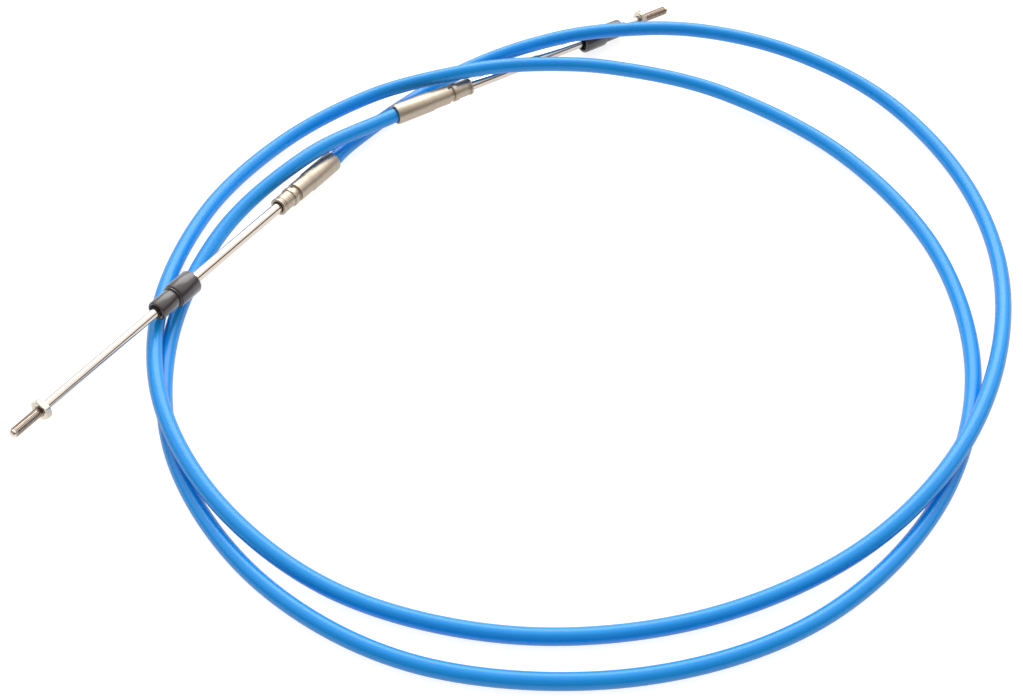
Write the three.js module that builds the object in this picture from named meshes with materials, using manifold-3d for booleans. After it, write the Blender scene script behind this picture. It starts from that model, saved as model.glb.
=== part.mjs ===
// Push-pull boat control cable, lying loose in two loops, with the same steel fitting at both ends.
// Millimetres, +Z up. The origin is on the floor, under the middle of the cable.

import * as THREE from 'three';
import { mergeVertices } from 'three/addons/utils/BufferGeometryUtils.js';
import Module from 'manifold-3d';

const wasm = await Module();
wasm.setup();

// Shared clearances
const restGap = 0.3; // between pieces that touch
const slideGap = 0.2; // between the rod and the tube it slides in

// Jacket: the plastic-covered outer casing
const jacketRadius = 3.95;
const jacketSides = 12;
const jacketSteps = 80;

// Hub: the crimped and turned fitting at each end of the jacket, along its axis from the rear face
const hubSegments = 32;
const crimpRadius = 5.6;
const crimpLength = 24;
const crimpBevel = 0.4;
const bodyRadius = 5.2;
const bodyLength = 10;
const bodyShoulder = 1.2;
const grooveRadius = 3.9;
const grooveLength = 3;
const ringRadius = 5.2;
const ringLength = 2.5;
const collarRadius = 4.6;
const collarLength = 9.5;
const lipRadius = 4.8;
const lipLength = 1.2;
const passageRadius = 3.3;
const mouthRadius = 3.4;

// Support tube: the thin sleeve that swivels in the hub on its ball
const tubeSegments = 24;
const tubeRadius = 2.9;
const ballRadius = 3.8;
const ballArcPoints = 8;
const ballDepth = 4.5; // of the ball's centre behind the hub's front face
const tubeReachA = 82.5; // of the tube's front end, past the hub's front face
const tubeReachB = 89.2;

// Wiper seal: the stepped rubber boot on the front of the tube
const wiperSegments = 32;
const wiperGrip = 11; // how far the tube reaches into it
const wiperBigRadius = 6.4;
const wiperBigLength = 14.5;
const wiperSmallRadius = 5.2;
const wiperSmallLength = 13.5;
const wiperEdge = 0.7;
const wiperRecessRadius = 4.8;
const wiperRecessDepth = 3;

// Rod with its threaded tip
const rodSegments = 24;
const rodRadius = 2.38;
const rodLength = 141;
const threadRadius = 2.415;
const threadLength = 21.2;
const tipChamfer = 1.2;
const tipReachA = 199.8; // of the rod's tip, past the hub's front face, as the cable lies
const tipReachB = 141;

// Jam nut
const nutAcrossFlats = 9.53;
const nutThickness = 3.4;
const nutChamfer = 0.9;
const nutBoreSides = 24;
const nutSetback = 21.2; // of the nut's rear face behind the rod's tip

// How the two ends lie: the middle of the hub's rear face, and the way the fitting points
const endA = { rear: [-113, 95.5, 5.6], heading: 238.6, rise: 6 };
const endB = { rear: [-79.5, 124, 13.9], heading: 34, rise: -2.8 };

// Route of the jacket from hub A to hub B, round two loops. Each point is x, y and how far the jacket is
// lifted off the floor where it passes over itself or over a fitting.
const routeStops = [
  [-103, 112, 0.6],
  [-78, 141, 0.3],
  [-44, 169, 3.4],
  [-5, 180, 13.4],
  [37, 189, 16.8],
  [92, 195, 12.8],
  [148, 182, 6.8],
  [197, 145, 2.4],
  [229, 84, 0.5],
  [237, 14, 1.4],
  [219, -61, 7.8],
  [183, -124, 8.8],
  [131, -169, 3.2],
  [61, -198, 0.5],
  [-16, -204, 0.2],
  [-90, -184, 1.4],
  [-146, -142, 7.4],
  [-181.5, -82, 9.1],
  [-191.6, -13, 5.2],
  [-176.5, 57, 1.8],
  [-142, 110, 1.8],
  [-97, 140, 8.4],
  [-53, 150, 16.3],
  [-9, 160, 15.9],
  [44, 164, 10.2],
  [106, 150, 3.2],
  [167, 102, 0.5],
  [206, 29, 0.1],
  [211, -56, 0.1],
  [180, -136, 0.1],
  [118, -197, 0.1],
  [36, -225, 0.1],
  [-54, -219, 0.1],
  [-125, -178, 0.1],
  [-172, -111, 0.1],
  [-185, -36, 0.4],
  [-167, 36, 5.2],
  [-125.9, 87.2, 12.0],
];

// Sizes that follow from the ones above
const hubLength = crimpLength + bodyLength + grooveLength + ringLength + collarLength;
const cavityRadius = ballRadius + restGap;
const cavityFront = hubLength - lipLength;
const cavityBack = hubLength - 2 * ballDepth + restGap;
const boreRadius = rodRadius + slideGap;
const socketRadius = tubeRadius + restGap;
const rodWayRadius = rodRadius + restGap;
const nutBoreRadius = threadRadius + restGap;

// Materials
const jacketBlue = new THREE.MeshStandardMaterial({ color: 0x0f6fd0, roughness: 0.4, metalness: 0 });
const hubSteel = new THREE.MeshStandardMaterial({ color: 0xb9b2a8, roughness: 0.3, metalness: 1 });
const rodSteel = new THREE.MeshStandardMaterial({ color: 0xc9c4bd, roughness: 0.22, metalness: 1 });
const nutSteel = new THREE.MeshStandardMaterial({ color: 0xc4beb2, roughness: 0.32, metalness: 1 });
const wiperRubber = new THREE.MeshStandardMaterial({ color: 0x1c1a1a, roughness: 0.6, metalness: 0 });

// A solid turned about +X. Each profile point is [radius, distance along the axis].
function turned(profile, segments) {
  const points = profile.map(([radius, along]) => new THREE.Vector2(radius, along));
  return new THREE.LatheGeometry(points, segments).rotateZ(-Math.PI / 2);
}

// A closed mesh as a solid for cutting, and back
function toSolid(geometry) {
  const bare = geometry.clone();
  bare.deleteAttribute('normal');
  bare.deleteAttribute('uv');
  const merged = mergeVertices(bare, 1e-4);
  return new wasm.Manifold(
    new wasm.Mesh({
      numProp: 3,
      vertProperties: new Float32Array(merged.attributes.position.array),
      triVerts: new Uint32Array(merged.index.array),
    }),
  );
}

function fromSolid(solid) {
  const { vertProperties, triVerts } = solid.getMesh();
  const geometry = new THREE.BufferGeometry();
  geometry.setAttribute('position', new THREE.BufferAttribute(vertProperties, 3));
  geometry.setIndex(new THREE.BufferAttribute(triVerts, 1));
  geometry.computeVertexNormals();
  return geometry;
}

// The jacket, a tube along the route that stops just short of both hubs
function jacketGeometry() {
  const ends = [endA, endB].map(({ rear, heading, rise }) => {
    const back = axisDirection(heading, rise).multiplyScalar(-restGap);
    return new THREE.Vector3(...rear).add(back);
  });
  const stops = routeStops.map(([x, y, lift]) => new THREE.Vector3(x, y, jacketRadius + lift));
  const route = new THREE.CatmullRomCurve3([ends[0], ...stops, ends[1]], false, 'catmullrom', 0.5);
  const section = new THREE.Shape().absarc(0, 0, jacketRadius, 0, 2 * Math.PI);
  return new THREE.ExtrudeGeometry(section, {
    steps: jacketSteps,
    curveSegments: jacketSides / 2,
    extrudePath: route,
    bevelEnabled: false,
  });
}

// The hub: crimp, body, clamp groove, ring and collar, hollow for the tube's ball and the core
function hubGeometry() {
  const bodyEnd = crimpLength + bodyLength;
  const grooveEnd = bodyEnd + grooveLength;
  const ringEnd = grooveEnd + ringLength;
  return turned(
    [
      [passageRadius, 0],
      [crimpRadius - crimpBevel, 0],
      [crimpRadius, crimpBevel],
      [crimpRadius, crimpLength - bodyShoulder],
      [bodyRadius, crimpLength],
      [bodyRadius, bodyEnd],
      [grooveRadius, bodyEnd],
      [grooveRadius, grooveEnd],
      [ringRadius, grooveEnd],
      [ringRadius, ringEnd],
      [collarRadius, ringEnd],
      [collarRadius, hubLength - lipLength],
      [lipRadius, hubLength - lipLength],
      [lipRadius, hubLength],
      [mouthRadius, hubLength],
      [mouthRadius, cavityFront],
      [cavityRadius, cavityFront],
      [cavityRadius, cavityBack],
      [passageRadius, cavityBack],
      [passageRadius, 0],
    ],
    hubSegments,
  );
}

// The support tube with its ball, measured from the hub's front face
function tubeGeometry(reach) {
  const profile = [];
  const firstAngle = Math.asin(boreRadius / ballRadius);
  const lastAngle = Math.PI - Math.asin(tubeRadius / ballRadius);
  for (let i = 0; i <= ballArcPoints; i += 1) {
    const angle = firstAngle + ((lastAngle - firstAngle) * i) / ballArcPoints;
    profile.push([ballRadius * Math.sin(angle), -ballDepth - ballRadius * Math.cos(angle)]);
  }
  profile.push([tubeRadius, reach], [boreRadius, reach], profile[0]);
  return turned(profile, tubeSegments);
}

// The wiper seal, measured from its own rear face
function wiperGeometry() {
  const shoulder = wiperBigLength;
  const front = wiperBigLength + wiperSmallLength;
  const socketEnd = wiperGrip + restGap;
  return turned(
    [
      [wiperRecessRadius, 0],
      [wiperBigRadius - wiperEdge, 0],
      [wiperBigRadius, wiperEdge],
      [wiperBigRadius, shoulder - wiperEdge],
      [wiperBigRadius - wiperEdge, shoulder],
      [wiperSmallRadius, shoulder],
      [wiperSmallRadius, front - wiperEdge],
      [wiperSmallRadius - wiperEdge, front],
      [rodWayRadius, front],
      [rodWayRadius, socketEnd],
      [socketRadius, socketEnd],
      [socketRadius, wiperRecessDepth],
      [wiperRecessRadius, wiperRecessDepth],
      [wiperRecessRadius, 0],
    ],
    wiperSegments,
  );
}

// The rod, measured from its inner end
function rodGeometry() {
  const threadStart = rodLength - threadLength;
  return turned(
    [
      [0, 0],
      [rodRadius, 0],
      [rodRadius, threadStart],
      [threadRadius, threadStart],
      [threadRadius, rodLength - tipChamfer],
      [threadRadius - tipChamfer, rodLength],
      [0, rodLength],
    ],
    rodSegments,
  );
}

// The jam nut, measured from its rear face: a hexagon with its corners turned down at both faces
function nutGeometry() {
  const cornerRadius = nutAcrossFlats / Math.sqrt(3);
  const outline = new THREE.Shape();
  for (let corner = 0; corner < 6; corner += 1) {
    const angle = (corner * Math.PI) / 3;
    const x = cornerRadius * Math.cos(angle);
    const y = cornerRadius * Math.sin(angle);
    if (corner === 0) outline.moveTo(x, y);
    else outline.lineTo(x, y);
  }
  outline.closePath();
  outline.holes.push(new THREE.Path().absarc(0, 0, nutBoreRadius, 0, 2 * Math.PI));
  const hexagon = new THREE.ExtrudeGeometry(outline, {
    depth: nutThickness,
    curveSegments: nutBoreSides / 2,
    bevelEnabled: false,
  }).rotateY(Math.PI / 2);
  const faceRadius = nutAcrossFlats / 2;
  const barrel = turned(
    [
      [0, 0],
      [faceRadius, 0],
      [faceRadius + 2 * nutChamfer, nutChamfer],
      [faceRadius + 2 * nutChamfer, nutThickness - nutChamfer],
      [faceRadius, nutThickness],
      [0, nutThickness],
    ],
    rodSegments,
  );
  return fromSolid(toSolid(hexagon).intersect(toSolid(barrel)));
}

function axisDirection(heading, rise) {
  const turn = THREE.MathUtils.degToRad(heading);
  const tilt = THREE.MathUtils.degToRad(rise);
  return new THREE.Vector3(
    Math.cos(turn) * Math.cos(tilt),
    Math.sin(turn) * Math.cos(tilt),
    Math.sin(tilt),
  );
}

function piece(name, geometry, material, along = 0) {
  const mesh = new THREE.Mesh(geometry, material);
  mesh.name = name;
  mesh.position.x = along;
  return mesh;
}

// One end of the cable, along +X from the hub's rear face, then laid where the end lies
function cableEnd(side, { rear, heading, rise }, tubeReach, tipReach) {
  const tip = hubLength + tipReach;
  const group = new THREE.Group();
  group.add(
    piece(`hub_${side}`, hubGeometry(), hubSteel),
    piece(`support_tube_${side}`, tubeGeometry(tubeReach), rodSteel, hubLength),
    piece(`wiper_seal_${side}`, wiperGeometry(), wiperRubber, hubLength + tubeReach - wiperGrip),
    piece(`rod_${side}`, rodGeometry(), rodSteel, tip - rodLength),
    piece(`jam_nut_${side}`, nutGeometry(), nutSteel, tip - nutSetback),
  );
  group.position.set(...rear);
  group.rotation.order = 'ZYX';
  group.rotation.set(0, -THREE.MathUtils.degToRad(rise), THREE.MathUtils.degToRad(heading));
  return group;
}

const controlCable = new THREE.Group();
controlCable.add(
  piece('conduit_jacket', jacketGeometry(), jacketBlue),
  cableEnd('a', endA, tubeReachA, tipReachA),
  cableEnd('b', endB, tubeReachB, tipReachB),
);

export default controlCable;
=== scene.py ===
import math
import bpy
from mathutils import Matrix, Vector


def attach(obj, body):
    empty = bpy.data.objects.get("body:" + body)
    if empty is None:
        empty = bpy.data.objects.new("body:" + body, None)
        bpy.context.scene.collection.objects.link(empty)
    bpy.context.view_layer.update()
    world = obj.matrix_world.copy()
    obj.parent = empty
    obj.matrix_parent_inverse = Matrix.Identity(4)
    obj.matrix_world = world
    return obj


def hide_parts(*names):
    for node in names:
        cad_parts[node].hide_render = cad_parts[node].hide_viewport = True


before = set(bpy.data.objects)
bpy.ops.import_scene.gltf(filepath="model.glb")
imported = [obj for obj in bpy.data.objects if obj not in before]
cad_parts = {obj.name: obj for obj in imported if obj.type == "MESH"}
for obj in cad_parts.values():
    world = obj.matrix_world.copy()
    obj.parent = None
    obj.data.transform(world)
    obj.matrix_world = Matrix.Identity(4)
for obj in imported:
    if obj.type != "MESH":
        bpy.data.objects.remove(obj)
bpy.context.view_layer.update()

mm = 0.001
gap = 0.3 * mm                       # what touching pieces keep between them
smoothAngles = {"turned": 35, "ridge": 30, "nut": 22}    # degrees, below which an edge is shaded smooth


# The camera of the photograph

cameraSetup = {
    "lens": 59.73,
    "sensor": 36.0,
    "location": (-0.015, -0.59346, 0.63788),
    "tilt": 41.1,                    # degrees up from looking straight down
    "clipStart": 0.01,
}


def deselectAll():
    if bpy.context.object and bpy.context.object.mode != "OBJECT":
        bpy.ops.object.mode_set(mode="OBJECT")
    bpy.ops.object.select_all(action="DESELECT")


def makeCamera():
    deselectAll()
    bpy.ops.object.camera_add(
        location=cameraSetup["location"],
        rotation=(math.radians(cameraSetup["tilt"]), 0, 0),
    )
    camera = bpy.context.object
    camera.name = "photoCamera"
    camera.data.lens = cameraSetup["lens"]
    camera.data.sensor_width = cameraSetup["sensor"]
    camera.data.sensor_fit = "HORIZONTAL"
    camera.data.clip_start = cameraSetup["clipStart"]
    bpy.context.scene.camera = camera
    print("camera placed")


# The two ends of the cable: the middle of the hub's rear face and the way the fitting points

cableEnds = {
    "a": {"rear": (-0.113, 0.0955, 0.0056), "heading": 238.6, "rise": 6.0,
          "tubeReach": 82.5, "tipReach": 199.8, "nutTurn": 8.0},
    "b": {"rear": (-0.0795, 0.124, 0.0139), "heading": 34.0, "rise": -2.8,
          "tubeReach": 89.2, "tipReach": 141.0, "nutTurn": 20.0},
}


def endAxis(end):
    heading = math.radians(end["heading"])
    rise = math.radians(end["rise"])
    return Vector((
        math.cos(heading) * math.cos(rise),
        math.sin(heading) * math.cos(rise),
        math.sin(rise),
    ))


def layAlong(piece, end, start):
    # moves a mesh made along +Z onto the end's axis, start metres past the hub's rear face
    axis = endAxis(end)
    turn = axis.to_track_quat("Z", "Y").to_matrix().to_4x4()
    piece.data.transform(Matrix.Translation(Vector(end["rear"]) + axis * start) @ turn)
    piece.data.update()


# The jacket and its route, the same as in the CAD part. Each stop is x, y and the lift off the floor.

jacket = {
    "radius": 3.95 * mm,
    "skin": 0.1 * mm,                # the moulded skin stands this much fuller than the core size
    "stepsPerStop": 16,
    "sideResolution": 8,
    "length": 2.606,
    "stops": [
        (-0.103, 0.112, 0.0006), (-0.078, 0.141, 0.0003), (-0.044, 0.169, 0.0034),
        (-0.005, 0.180, 0.0134), (0.037, 0.189, 0.0168), (0.092, 0.195, 0.0128),
        (0.148, 0.182, 0.0068), (0.197, 0.145, 0.0024), (0.229, 0.084, 0.0005),
        (0.237, 0.014, 0.0014), (0.219, -0.061, 0.0078), (0.183, -0.124, 0.0088),
        (0.131, -0.169, 0.0032), (0.061, -0.198, 0.0005), (-0.016, -0.204, 0.0002),
        (-0.090, -0.184, 0.0014), (-0.146, -0.142, 0.0074), (-0.1815, -0.082, 0.0091),
        (-0.1916, -0.013, 0.0052), (-0.1765, 0.057, 0.0018), (-0.142, 0.110, 0.0018),
        (-0.097, 0.140, 0.0084), (-0.053, 0.150, 0.0163), (-0.009, 0.160, 0.0159),
        (0.044, 0.164, 0.0102), (0.106, 0.150, 0.0032), (0.167, 0.102, 0.0005),
        (0.206, 0.029, 0.0001), (0.211, -0.056, 0.0001), (0.180, -0.136, 0.0001),
        (0.118, -0.197, 0.0001), (0.036, -0.225, 0.0001), (-0.054, -0.219, 0.0001),
        (-0.125, -0.178, 0.0001), (-0.172, -0.111, 0.0001), (-0.185, -0.036, 0.0004),
        (-0.167, 0.036, 0.0052), (-0.1259, 0.0872, 0.0120),
    ],
}


def routePoints():
    first, last = (Vector(cableEnds[side]["rear"]) - endAxis(cableEnds[side]) * gap for side in "ab")
    stops = [Vector((x, y, jacket["radius"] + lift)) for x, y, lift in jacket["stops"]]
    return [first, *stops, last]


def makeJacket():
    points = routePoints()
    curve = bpy.data.curves.new("conduitJacket", "CURVE")
    curve.dimensions = "3D"
    curve.bevel_depth = jacket["radius"] + jacket["skin"]
    curve.bevel_resolution = jacket["sideResolution"]
    curve.resolution_u = jacket["stepsPerStop"]
    curve.use_fill_caps = True
    spline = curve.splines.new("BEZIER")
    spline.bezier_points.add(len(points) - 1)
    for i, point in enumerate(spline.bezier_points):
        before = points[max(i - 1, 0)]
        after = points[min(i + 1, len(points) - 1)]
        spans = 2 if 0 < i < len(points) - 1 else 1
        handle = (after - before) / (3 * spans)
        point.co = points[i]
        point.handle_left = points[i] - handle
        point.handle_right = points[i] + handle
    piece = bpy.data.objects.new("conduitJacket", curve)
    bpy.context.scene.collection.objects.link(piece)
    piece.data.materials.append(materials["jacketPlastic"])
    length = spline.calc_length()
    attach(piece, "casing")
    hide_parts("conduit_jacket")
    print("jacket laid, metres long:", round(length, 4))


# Turned pieces: a ring pushed and scaled along +Z through a profile of (radius, distance) in millimetres.
# A closed profile comes back to its first point, an open one leaves its last end to be closed.

weldReach = 0.001                    # millimetres
roundedAngle = 25                    # degrees, above which an edge is rounded
roundedSteps = 3


def turnPiece(name, profile, sides, bevel=0.0, closed=True):
    deselectAll()
    radius, along = profile[0]
    bpy.ops.mesh.primitive_circle_add(
        vertices=sides,
        radius=radius * mm,
        location=(0, 0, along * mm),
        fill_type="NOTHING" if closed else "NGON",
    )
    piece = bpy.context.object
    piece.name = name
    bpy.ops.object.transform_apply(location=True, rotation=False, scale=False)
    bpy.ops.object.mode_set(mode="EDIT")
    bpy.ops.mesh.select_all(action="SELECT")
    stations = profile[1:] + ([profile[0]] if closed else [])
    for nextRadius, nextAlong in stations:
        bpy.ops.mesh.extrude_region_move(
            TRANSFORM_OT_translate={"value": (0, 0, (nextAlong - along) * mm)},
        )
        share = nextRadius / radius
        bpy.ops.transform.resize(value=(share, share, 1), center_override=(0, 0, nextAlong * mm))
        radius, along = nextRadius, nextAlong
    bpy.ops.mesh.select_all(action="SELECT")
    bpy.ops.mesh.remove_doubles(threshold=weldReach * mm)
    bpy.ops.mesh.normals_make_consistent(inside=False)
    bpy.ops.object.mode_set(mode="OBJECT")
    if bevel:
        roundEdges(piece, bevel)
    wrapCoordinates(piece)
    bpy.ops.object.shade_smooth_by_angle(angle=math.radians(smoothAngles["turned"]))
    return piece


def roundEdges(piece, width):
    bpy.context.view_layer.objects.active = piece
    rounding = piece.modifiers.new("roundEdges", "BEVEL")
    rounding.width = width * mm
    rounding.segments = roundedSteps
    rounding.limit_method = "ANGLE"
    rounding.angle_limit = math.radians(roundedAngle)
    rounding.use_clamp_overlap = True
    bpy.ops.object.modifier_apply(modifier=rounding.name)


def wrapCoordinates(piece):
    # a UV map made round +Z: U is the turn from 0 to 1, V the distance along the axis in centimetres
    mesh = piece.data
    while mesh.uv_layers:
        mesh.uv_layers.remove(mesh.uv_layers[0])
    layer = mesh.uv_layers.new(name="wrap")
    for face in mesh.polygons:
        turns = []
        for corner in face.loop_indices:
            place = mesh.vertices[mesh.loops[corner].vertex_index].co
            turns.append(math.atan2(place.y, place.x) / math.tau + 0.5)
        seam = max(turns) - min(turns) > 0.5
        for corner, turn in zip(face.loop_indices, turns):
            place = mesh.vertices[mesh.loops[corner].vertex_index].co
            layer.data[corner].uv = (turn + (1 if seam and turn < 0.5 else 0), place.z * 100)


# Hub: crimp, body, clamp groove, ring and collar

hub = {
    "length": 49.0,
    "sides": 64, "rounding": 0.1,
    "crimpRadius": 5.6, "crimpLength": 24.0, "shoulder": 1.2,
    "rearEdge": ((0.45, 0), (0.12, 0.18), (0, 0.6)),     # in from the crimp's radius, up from the rear face
    "bodyRadius": 5.2, "bodyEnd": 34.0,
    "grooveRadius": 3.9, "grooveEnd": 37.0,
    "ringRadius": 5.2, "ringEnd": 39.5,
    "collarRadius": 4.6,
    "lipRadius": 4.8, "lipLength": 1.2, "lipGroove": 0.3, "lipGrooveWidth": 0.4,
    "lineDepth": 0.3, "lineWidth": 0.45, "lineSetback": 1.6,
    "socketRadius": 4.1, "socketDepth": 6.0, "flare": 0.35, "flareDepth": 0.5,
    "passageRadius": 3.3, "cavityRadius": 4.1, "cavityBack": 40.3, "mouthRadius": 3.4,
}


def makeHub(side):
    h = hub
    lipStart = h["length"] - h["lipLength"]
    lineStart = lipStart - h["lineSetback"]
    lineRadius = h["collarRadius"] - h["lineDepth"]
    profile = [
        (h["passageRadius"], h["socketDepth"]),
        (h["socketRadius"], h["socketDepth"]),
        (h["socketRadius"], h["flareDepth"]),
        (h["socketRadius"] + h["flare"], 0),
        *[(h["crimpRadius"] - inward, up) for inward, up in h["rearEdge"]],
        (h["crimpRadius"], h["crimpLength"] - h["shoulder"]),
        (h["bodyRadius"], h["crimpLength"]),
        (h["bodyRadius"], h["bodyEnd"]),
        (h["grooveRadius"], h["bodyEnd"]),
        (h["grooveRadius"], h["grooveEnd"]),
        (h["ringRadius"], h["grooveEnd"]),
        (h["ringRadius"], h["ringEnd"]),
        (h["collarRadius"], h["ringEnd"]),
        (h["collarRadius"], lineStart),
        (lineRadius, lineStart),
        (lineRadius, lineStart + h["lineWidth"]),
        (h["collarRadius"], lineStart + h["lineWidth"]),
        (h["collarRadius"], lipStart - h["lipGrooveWidth"]),
        (h["collarRadius"] - h["lipGroove"], lipStart - h["lipGrooveWidth"]),
        (h["collarRadius"] - h["lipGroove"], lipStart),
        (h["lipRadius"], lipStart),
        (h["lipRadius"], h["length"]),
        (h["mouthRadius"], h["length"]),
        (h["mouthRadius"], lipStart),
        (h["cavityRadius"], lipStart),
        (h["cavityRadius"], h["cavityBack"]),
        (h["passageRadius"], h["cavityBack"]),
    ]
    piece = turnPiece("hub" + side.upper(), profile, h["sides"], h["rounding"])
    finishPiece(piece, side, 0, "hubSteel", "casing", "hub_" + side)


# Support tube: the drawn sleeve with the ball at its inner end

tube = {
    "sides": 48,
    "radius": 2.9, "bore": 2.58,
    "ballRadius": 3.8, "ballDepth": 4.5, "ballSteps": 14,
}


def makeTube(side):
    t = tube
    firstAngle = math.asin(t["bore"] / t["ballRadius"])
    lastAngle = math.pi - math.asin(t["radius"] / t["ballRadius"])
    profile = []
    for i in range(t["ballSteps"] + 1):
        angle = firstAngle + (lastAngle - firstAngle) * i / t["ballSteps"]
        along = -t["ballDepth"] - t["ballRadius"] * math.cos(angle)
        profile.append((t["ballRadius"] * math.sin(angle), along))
    reach = cableEnds[side]["tubeReach"]
    profile += [(t["radius"], reach), (t["bore"], reach)]
    piece = turnPiece("supportTube" + side.upper(), profile, t["sides"])
    start = hub["length"] * mm
    finishPiece(piece, side, start, "drawnSteel", "swivel_" + side, "support_tube_" + side)


# Wiper seal: the stepped rubber boot

wiper = {
    "sides": 64,
    "grip": 11.0, "gripGap": 0.3,    # how far the tube reaches into it, and what it keeps clear
    "bigRadius": 6.4, "bigLength": 14.5,
    "smallRadius": 5.2, "smallLength": 13.5,
    "edge": 0.9, "edgeShare": 0.3, "rounding": 0.12,
    "beadRadius": 5.75, "beadLength": 0.7,
    "waist": 0.25, "waistLength": 1.4, "waistEnd": 2.24,
    "recessRadius": 4.8, "recessDepth": 3.0, "recessFlare": 0.3, "recessFlareDepth": 0.25,
    "socketRadius": 3.2, "rodWay": 2.68,
    "mouthRadius": 4.1, "mouthDepth": 1.8, "lipStep": 0.5, "lipSetback": 0.1,
}


def makeWiper(side):
    w = wiper
    front = w["bigLength"] + w["smallLength"]
    edge = w["edge"]
    halfway = w["edgeShare"] * edge
    profile = [
        (w["recessRadius"], w["recessFlareDepth"]),
        (w["recessRadius"] + w["recessFlare"], 0),
        (w["bigRadius"] - edge, 0),
        (w["bigRadius"] - halfway, halfway),
        (w["bigRadius"], edge),
        (w["bigRadius"], w["bigLength"] - edge),
        (w["bigRadius"] - halfway, w["bigLength"] - halfway),
        (w["bigRadius"] - edge, w["bigLength"]),
        (w["beadRadius"], w["bigLength"]),
        (w["beadRadius"], w["bigLength"] + w["beadLength"]),
        (w["smallRadius"] - w["waist"], w["bigLength"] + w["beadLength"]),
        (w["smallRadius"] - w["waist"], w["bigLength"] + w["waistLength"]),
        (w["smallRadius"], w["bigLength"] + w["waistEnd"]),
        (w["smallRadius"], front - edge),
        (w["smallRadius"] - halfway, front - halfway),
        (w["smallRadius"] - edge, front),
        (w["mouthRadius"], front - w["lipSetback"]),
        (w["mouthRadius"] - w["lipStep"], front - w["lipStep"]),
        (w["rodWay"], front - w["mouthDepth"]),
        (w["rodWay"], w["grip"] + w["gripGap"]),
        (w["socketRadius"], w["grip"] + w["gripGap"]),
        (w["socketRadius"], w["recessDepth"]),
        (w["recessRadius"], w["recessDepth"]),
    ]
    piece = turnPiece("wiperSeal" + side.upper(), profile, w["sides"], w["rounding"])
    start = (hub["length"] + cableEnds[side]["tubeReach"] - w["grip"]) * mm
    finishPiece(piece, side, start, "wiperRubber", "swivel_" + side, "wiper_seal_" + side)


# Rod with its rolled thread: a plain rod, a slimmer threaded core and a ridge wound round it

rod = {
    "sides": 48, "radius": 2.38, "length": 141.0, "rearChamfer": 0.25, "tipChamfer": 1.2,
    "threadRadius": 2.415, "threadLength": 21.2, "threadPitch": 0.794, "threadDepth": 0.42, "runOut": 0.5,
    "ridgeSteps": 32, "ridgeRoot": 0.08,                 # how far the ridge is sunk in the core
    "ridgeFoot": 0.78, "ridgeCrest": 0.18,               # widths, as shares of the pitch
}


def makeRod(side):
    r = rod
    threadStart = r["length"] - r["threadLength"]
    coreRadius = r["threadRadius"] - r["threadDepth"]
    tipRadius = r["threadRadius"] - r["tipChamfer"]
    tipStart = r["length"] - r["tipChamfer"]
    profile = [
        (r["radius"] - r["rearChamfer"], 0),
        (r["radius"], r["rearChamfer"]),
        (r["radius"], threadStart),
        (coreRadius, threadStart + r["runOut"]),
        (coreRadius, tipStart + r["threadDepth"]),
        (tipRadius, r["length"]),
    ]
    piece = turnPiece("rod" + side.upper(), profile, r["sides"], closed=False)
    deselectAll()
    piece.select_set(True)
    bpy.context.view_layer.objects.active = piece
    closeFrontEnd(piece, r["length"] * mm)
    piece.data.materials.append(materials["rodSteel"])
    ridge = makeRidge(threadStart, coreRadius, tipStart)
    ridge.data.materials.append(materials["threadSteel"])
    deselectAll()
    ridge.select_set(True)
    piece.select_set(True)
    bpy.context.view_layer.objects.active = piece
    bpy.ops.object.join()
    wrapCoordinates(piece)
    start = (hub["length"] + cableEnds[side]["tipReach"] - r["length"]) * mm
    finishPiece(piece, side, start, "rodSteel", "end_rod_" + side, "rod_" + side)


def closeFrontEnd(piece, along):
    near = 0.01 * mm
    bpy.ops.object.mode_set(mode="EDIT")
    bpy.ops.mesh.select_mode(type="VERT")
    bpy.ops.mesh.select_all(action="DESELECT")
    bpy.ops.object.mode_set(mode="OBJECT")
    for vertex in piece.data.vertices:
        vertex.select = abs(vertex.co.z - along) < near
    bpy.ops.object.mode_set(mode="EDIT")
    bpy.ops.mesh.edge_face_add()
    bpy.ops.mesh.select_all(action="SELECT")
    bpy.ops.mesh.normals_make_consistent(inside=False)
    bpy.ops.object.mode_set(mode="OBJECT")


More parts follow.
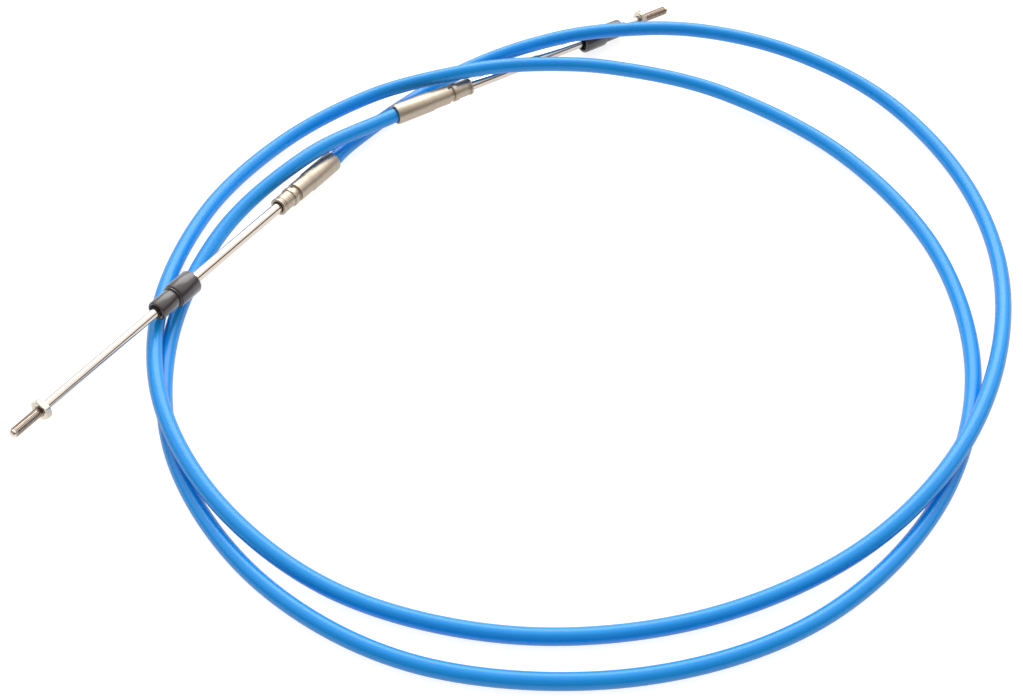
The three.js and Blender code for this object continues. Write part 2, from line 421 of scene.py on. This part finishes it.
def makeRidge(threadStart, coreRadius, tipStart):
    # a small wedge in the XZ plane, wound up the rod by a Screw modifier
    r = rod
    height = r["threadDepth"] + r["ridgeRoot"]
    turns = int((tipStart - threadStart - r["threadPitch"]) / r["threadPitch"])
    inside = (coreRadius - r["ridgeRoot"]) * mm
    middle = (threadStart + r["threadPitch"]) * mm
    crest = r["ridgeCrest"] * r["threadPitch"] * mm
    deselectAll()
    bpy.ops.mesh.primitive_plane_add(
        size=1,
        location=(inside + height / 2 * mm, 0, middle),
        rotation=(math.pi / 2, 0, 0),
    )
    ridge = bpy.context.object
    ridge.scale = (height * mm, r["ridgeFoot"] * r["threadPitch"] * mm, 1)
    bpy.ops.object.transform_apply(location=True, rotation=True, scale=True)
    for vertex in ridge.data.vertices:
        if vertex.co.x > inside + height / 2 * mm:
            vertex.co.z = middle + math.copysign(crest / 2, vertex.co.z - middle)
    bpy.ops.object.mode_set(mode="EDIT")
    bpy.ops.mesh.select_all(action="SELECT")
    bpy.ops.mesh.delete(type="ONLY_FACE")
    bpy.ops.object.mode_set(mode="OBJECT")
    winding = ridge.modifiers.new("winding", "SCREW")
    winding.axis = "Z"
    winding.angle = math.tau
    winding.screw_offset = r["threadPitch"] * mm
    winding.iterations = turns
    winding.steps = r["ridgeSteps"]
    winding.render_steps = r["ridgeSteps"]
    winding.use_merge_vertices = False
    bpy.ops.object.modifier_apply(modifier=winding.name)
    bpy.ops.object.mode_set(mode="EDIT")
    bpy.ops.mesh.select_mode(type="EDGE")
    bpy.ops.mesh.select_all(action="DESELECT")
    bpy.ops.mesh.select_non_manifold()
    bpy.ops.mesh.edge_face_add()
    bpy.ops.mesh.select_all(action="SELECT")
    bpy.ops.mesh.normals_make_consistent(inside=False)
    bpy.ops.object.mode_set(mode="OBJECT")
    bpy.ops.object.shade_smooth_by_angle(angle=math.radians(smoothAngles["ridge"]))
    return ridge


# Jam nut: a hexagon with its corners turned down at both faces

nut = {
    "sides": 48,
    "acrossFlats": 9.53, "thickness": 3.4, "setback": 21.2,
    "bore": 2.5, "mouth": 2.95,
    "chamfer": 0.7, "rim": 0.05, "faceSetIn": 0.1,       # the corners' turned edge
    "spare": 2.0, "rounding": 0.12, "roundedSteps": 2,   # of the hexagon that cuts the barrel
}


def makeNut(side):
    n = nut
    faceRadius = n["acrossFlats"] / 2 - n["faceSetIn"]
    cornerRadius = n["acrossFlats"] / math.sqrt(3)
    wide = n["acrossFlats"] / 2 + 2 * n["chamfer"]
    edge = n["chamfer"] + n["rim"]
    flare = n["mouth"] - n["bore"]
    barrel = turnPiece(
        "nutBarrel",
        [
            (n["bore"], flare),
            (n["mouth"], 0),
            (faceRadius, 0),
            (wide, edge),
            (wide, n["thickness"] - edge),
            (faceRadius, n["thickness"]),
            (n["mouth"], n["thickness"]),
            (n["bore"], n["thickness"] - flare),
        ],
        n["sides"],
    )
    deselectAll()
    bpy.ops.mesh.primitive_cylinder_add(
        vertices=6,
        radius=cornerRadius * mm,
        depth=(n["thickness"] + n["spare"]) * mm,
        location=(0, 0, n["thickness"] / 2 * mm),
        rotation=(0, 0, math.radians(cableEnds[side]["nutTurn"])),
    )
    hexagon = bpy.context.object
    bpy.ops.object.transform_apply(location=True, rotation=True, scale=True)
    bpy.ops.object.mode_set(mode="EDIT")
    bpy.ops.mesh.select_all(action="SELECT")
    bpy.ops.mesh.bevel(offset=n["rounding"] * mm, segments=n["roundedSteps"], affect="EDGES")
    bpy.ops.object.mode_set(mode="OBJECT")
    bpy.context.view_layer.objects.active = barrel
    cut = barrel.modifiers.new("hexagonSides", "BOOLEAN")
    cut.operation = "INTERSECT"
    cut.solver = "EXACT"
    cut.object = hexagon
    bpy.ops.object.modifier_apply(modifier=cut.name)
    bpy.data.objects.remove(hexagon)
    barrel.name = "jamNut" + side.upper()
    wrapCoordinates(barrel)
    deselectAll()
    barrel.select_set(True)
    bpy.context.view_layer.objects.active = barrel
    bpy.ops.object.shade_smooth_by_angle(angle=math.radians(smoothAngles["nut"]))
    start = (hub["length"] + cableEnds[side]["tipReach"] - n["setback"]) * mm
    finishPiece(barrel, side, start, "nutSteel", "end_rod_" + side, "jam_nut_" + side)


def finishPiece(piece, side, start, material, body, node):
    layAlong(piece, cableEnds[side], start)
    if not piece.data.materials:
        piece.data.materials.append(materials[material])
    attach(piece, body)
    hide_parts(node)


# Materials

materials = {}


def addNode(tree, kind, **settings):
    node = tree.nodes.new(kind)
    for name, value in settings.items():
        if name in node.inputs:
            node.inputs[name].default_value = value
        else:
            setattr(node, name, value)
    return node


def makeGrainGroup():
    # fine lines left by turning or drawing, from a stretched noise on the piece's own wrap map
    group = bpy.data.node_groups.new("machinedGrain", "ShaderNodeTree")
    face = group.interface
    face.new_socket("Vector", in_out="INPUT", socket_type="NodeSocketVector")
    for name, value in (("Fineness", 60.0), ("Spread", 0.5)):
        socket = face.new_socket(name, in_out="INPUT", socket_type="NodeSocketFloat")
        socket.default_value = value
    face.new_socket("Lines", in_out="OUTPUT", socket_type="NodeSocketFloat")
    face.new_socket("Smudges", in_out="OUTPUT", socket_type="NodeSocketFloat")
    inside = addNode(group, "NodeGroupInput")
    outside = addNode(group, "NodeGroupOutput")
    lines = addNode(group, "ShaderNodeTexNoise", Detail=3.0, Roughness=0.6)
    smudges = addNode(group, "ShaderNodeTexNoise", Scale=1.6, Detail=4.0, Roughness=0.55)
    spread = addNode(group, "ShaderNodeMapRange")
    spread.inputs["From Min"].default_value = 0.3
    spread.inputs["From Max"].default_value = 0.7
    group.links.new(inside.outputs["Vector"], lines.inputs["Vector"])
    group.links.new(inside.outputs["Vector"], smudges.inputs["Vector"])
    group.links.new(inside.outputs["Fineness"], lines.inputs["Scale"])
    group.links.new(inside.outputs["Spread"], spread.inputs["To Max"])
    group.links.new(smudges.outputs["Fac"], spread.inputs["Value"])
    group.links.new(lines.outputs["Fac"], outside.inputs["Lines"])
    group.links.new(spread.outputs["Result"], outside.inputs["Smudges"])
    return group


def startMaterial(name):
    material = bpy.data.materials.new(name)
    material.use_nodes = True
    material.node_tree.nodes.clear()
    materials[name] = material
    tree = material.node_tree
    shader = addNode(tree, "ShaderNodeBsdfPrincipled")
    output = addNode(tree, "ShaderNodeOutputMaterial")
    tree.links.new(shader.outputs["BSDF"], output.inputs["Surface"])
    return tree, shader


# The steels: tone and shade are the clean and the dulled colour, smudge is what the dulled parts add to the
# roughness, and stretch squeezes the wrap map round or along the piece

reliefDepth = 0.02 * mm
polished = {
    "tone": (0.66, 0.60, 0.53), "shade": (0.60, 0.53, 0.46), "roughness": 0.09, "smudge": 0.05,
    "stretch": (30, 0.6, 1), "fineness": 6, "relief": 0.04,
}
steels = {
    "hubSteel": {
        "tone": (0.50, 0.43, 0.345), "shade": (0.43, 0.365, 0.29), "roughness": 0.42, "smudge": 0.08,
        "stretch": (0.6, 12, 1), "fineness": 30, "relief": 0.1,
    },
    "drawnSteel": polished,
    "rodSteel": polished,
    "threadSteel": {
        **polished,
        "tone": (0.40, 0.33, 0.27), "shade": (0.33, 0.27, 0.22), "roughness": 0.24, "smudge": 0.08,
    },
    "nutSteel": {
        "tone": (0.66, 0.61, 0.53), "shade": (0.58, 0.52, 0.44), "roughness": 0.18, "smudge": 0.12,
        "stretch": (4, 4, 1), "fineness": 12, "relief": 0.08,
    },
}


def finishSurface(tree, shader, tones, roughness, reliefs, blendBy, reliefBy):
    # what every material here shares: two tones and two roughnesses blended by one value, relief by another
    colour = addNode(tree, "ShaderNodeMix", data_type="RGBA")
    for name, tone in zip("AB", tones):
        colour.inputs[name].default_value = (*tone, 1)
    gloss = addNode(tree, "ShaderNodeMapRange")
    gloss.inputs["To Min"].default_value, gloss.inputs["To Max"].default_value = roughness
    relief = addNode(tree, "ShaderNodeBump")
    relief.inputs["Strength"].default_value, relief.inputs["Distance"].default_value = reliefs
    tree.links.new(blendBy, colour.inputs["Factor"])
    tree.links.new(blendBy, gloss.inputs["Value"])
    tree.links.new(reliefBy, relief.inputs["Height"])
    tree.links.new(colour.outputs["Result"], shader.inputs["Base Color"])
    tree.links.new(gloss.outputs["Result"], shader.inputs["Roughness"])
    tree.links.new(relief.outputs["Normal"], shader.inputs["Normal"])
    return colour


def makeSteel(name, grain):
    steel = steels[name]
    tree, shader = startMaterial(name)
    shader.inputs["Metallic"].default_value = 1.0
    coordinates = addNode(tree, "ShaderNodeTexCoord")
    mapping = addNode(tree, "ShaderNodeMapping")
    mapping.inputs["Scale"].default_value = steel["stretch"]
    lines = addNode(tree, "ShaderNodeGroup")
    lines.node_tree = grain
    lines.inputs["Fineness"].default_value = steel["fineness"]
    lines.inputs["Spread"].default_value = 1.0
    tree.links.new(coordinates.outputs["UV"], mapping.inputs["Vector"])
    tree.links.new(mapping.outputs["Vector"], lines.inputs["Vector"])
    finishSurface(
        tree, shader,
        tones=(steel["tone"], steel["shade"]),
        roughness=(steel["roughness"], steel["roughness"] + steel["smudge"]),
        reliefs=(steel["relief"], reliefDepth),
        blendBy=lines.outputs["Smudges"],
        reliefBy=lines.outputs["Lines"],
    )


# The plastic and the rubber: mottle blends the tones, skin makes the fine relief, both by Object coordinates

moulded = {
    "jacketPlastic": {
        "tones": ((0.0, 0.262, 0.755), (0.0, 0.286, 0.79)),
        "roughness": (0.24, 0.32),
        "reliefs": (0.1, 0.05 * mm),
        "mottle": {"Scale": 45.0, "Detail": 3.0},
        "skin": {"Scale": 900.0, "Detail": 2.0},
        "shader": {"Specular IOR Level": 0.42},
    },
    "wiperRubber": {
        "tones": ((0.018, 0.014, 0.014), (0.035, 0.029, 0.028)),
        "roughness": (0.3, 0.42),
        "reliefs": (0.2, 0.03 * mm),
        "mottle": {"Scale": 160.0, "Detail": 5.0, "Roughness": 0.6},
        "skin": {"Scale": 2600.0, "Detail": 2.0},
        "shader": {"Coat Weight": 0.7, "Coat Roughness": 0.2},
    },
}
rim = {"tone": (0.0, 0.07, 0.38), "from": 0.45, "to": 0.95}     # painted shade: a deeper blue towards the jacket's edges, where the surface turns away from the view


def makeMoulded(name):
    m = moulded[name]
    tree, shader = startMaterial(name)
    shader.inputs["IOR"].default_value = 1.5
    for socket, value in m["shader"].items():
        shader.inputs[socket].default_value = value
    coordinates = addNode(tree, "ShaderNodeTexCoord")
    mottle = addNode(tree, "ShaderNodeTexNoise", **m["mottle"])
    skin = addNode(tree, "ShaderNodeTexNoise", **m["skin"])
    for texture in (mottle, skin):
        tree.links.new(coordinates.outputs["Object"], texture.inputs["Vector"])
    blendBy, reliefBy = mottle.outputs["Fac"], skin.outputs["Fac"]
    colour = finishSurface(tree, shader, m["tones"], m["roughness"], m["reliefs"], blendBy, reliefBy)
    return tree, shader, colour


def addPaintedEdgeShade(tree, shader, colour):
    # paints shade into the jacket's base colour: Layer Weight's facing turns it a deeper blue where the
    # surface turns away from the view
    facing = addNode(tree, "ShaderNodeLayerWeight", Blend=0.5)
    share = addNode(tree, "ShaderNodeMapRange", interpolation_type="SMOOTHSTEP")
    share.inputs["From Min"].default_value = rim["from"]
    share.inputs["From Max"].default_value = rim["to"]
    tone = addNode(tree, "ShaderNodeMix", data_type="RGBA")
    tone.inputs["B"].default_value = (*rim["tone"], 1)
    tree.links.new(facing.outputs["Facing"], share.inputs["Value"])
    tree.links.new(share.outputs["Result"], tone.inputs["Factor"])
    tree.links.new(colour.outputs["Result"], tone.inputs["A"])
    tree.links.new(tone.outputs["Result"], shader.inputs["Base Color"])


def makeMaterials():
    grain = makeGrainGroup()
    for name in steels:
        makeSteel(name, grain)
    # the jacket gets the painted edge shade on top of its mottled tones
    addPaintedEdgeShade(*makeMoulded("jacketPlastic"))
    makeMoulded("wiperRubber")
    print("materials made")


# Floor, world and lights: a plain pale studio

studio = {
    "floorSize": 5.0, "floorTone": 0.3, "floorGlow": 0.85, "floorRoughness": 0.9,
    "bandTone": (0.13, 0.08, 0.055),     # low all round, but for the back
    "backTone": (0.95, 0.93, 0.92),      # low at the back
    "frontTone": (0.46, 0.43, 0.41),     # above the band, on the camera's side
    "sideTone": (1.5, 1.47, 1.44),       # above the band, at the sides and the back
    "bandTop": (0.2, 0.5),               # where the band fades, as the height of a direction
    "frontFade": (-0.5, 0.2),            # where front turns into side, as its depth
    "backFade": (0.55, 0.9),
    "boxPlace": (0.05, 1.15, 1.0), "boxSize": (1.5, 1.1), "boxPower": 18.0,
}


def makeFloor():
    deselectAll()
    bpy.ops.mesh.primitive_plane_add(size=studio["floorSize"])
    floor = bpy.context.object
    floor.name = "studioFloor"
    material = bpy.data.materials.new("paleFloor")
    material.use_nodes = True
    shader = material.node_tree.nodes["Principled BSDF"]
    shader.inputs["Base Color"].default_value = (*[studio["floorTone"]] * 3, 1)
    shader.inputs["Roughness"].default_value = studio["floorRoughness"]
    shader.inputs["Specular IOR Level"].default_value = 0.0
    shader.inputs["Emission Color"].default_value = (1, 1, 1, 1)
    shader.inputs["Emission Strength"].default_value = studio["floorGlow"]
    floor.data.materials.append(material)


def makeWorld():
    # a white tent, dimmer on the camera's side, with a dark band low down that draws the lines in the steel
    world = bpy.data.worlds.new("studioTent")
    bpy.context.scene.world = world
    world.use_nodes = True
    tree = world.node_tree
    background = tree.nodes["Background"]
    direction = addNode(tree, "ShaderNodeTexCoord")
    split = addNode(tree, "ShaderNodeSeparateXYZ")
    tree.links.new(direction.outputs["Generated"], split.inputs["Vector"])

    def fade(axis, limits):
        node = addNode(tree, "ShaderNodeMapRange", interpolation_type="SMOOTHSTEP")
        node.inputs["From Min"].default_value, node.inputs["From Max"].default_value = limits
        tree.links.new(split.outputs[axis], node.inputs["Value"])
        return node.outputs["Result"]

    def blend(low, high, factor):
        node = addNode(tree, "ShaderNodeMix", data_type="RGBA")
        for name, tone in (("A", low), ("B", high)):
            if isinstance(tone, tuple):
                node.inputs[name].default_value = (*tone, 1)
            else:
                tree.links.new(tone, node.inputs[name])
        tree.links.new(factor, node.inputs["Factor"])
        return node.outputs["Result"]

    band = blend(studio["bandTone"], studio["backTone"], fade("Y", studio["backFade"]))
    above = blend(studio["frontTone"], studio["sideTone"], fade("Y", studio["frontFade"]))
    tent = blend(band, above, fade("Z", studio["bandTop"]))
    tree.links.new(tent, background.inputs["Color"])


def makeLights():
    deselectAll()
    bpy.ops.object.light_add(type="AREA", location=studio["boxPlace"])
    box = bpy.context.object
    box.name = "backSoftbox"
    box.data.shape = "RECTANGLE"
    box.data.size, box.data.size_y = studio["boxSize"]
    box.data.energy = studio["boxPower"]
    box.rotation_euler = (-Vector(studio["boxPlace"])).to_track_quat("-Z", "Y").to_euler()
    bpy.context.scene.view_settings.view_transform = "Standard"
    print("studio lit")


makeCamera()
makeMaterials()
makeJacket()
for side in cableEnds:
    makeHub(side)
    makeTube(side)
    makeWiper(side)
    makeRod(side)
    makeNut(side)
    print("end made:", side)
makeFloor()
makeWorld()
makeLights()
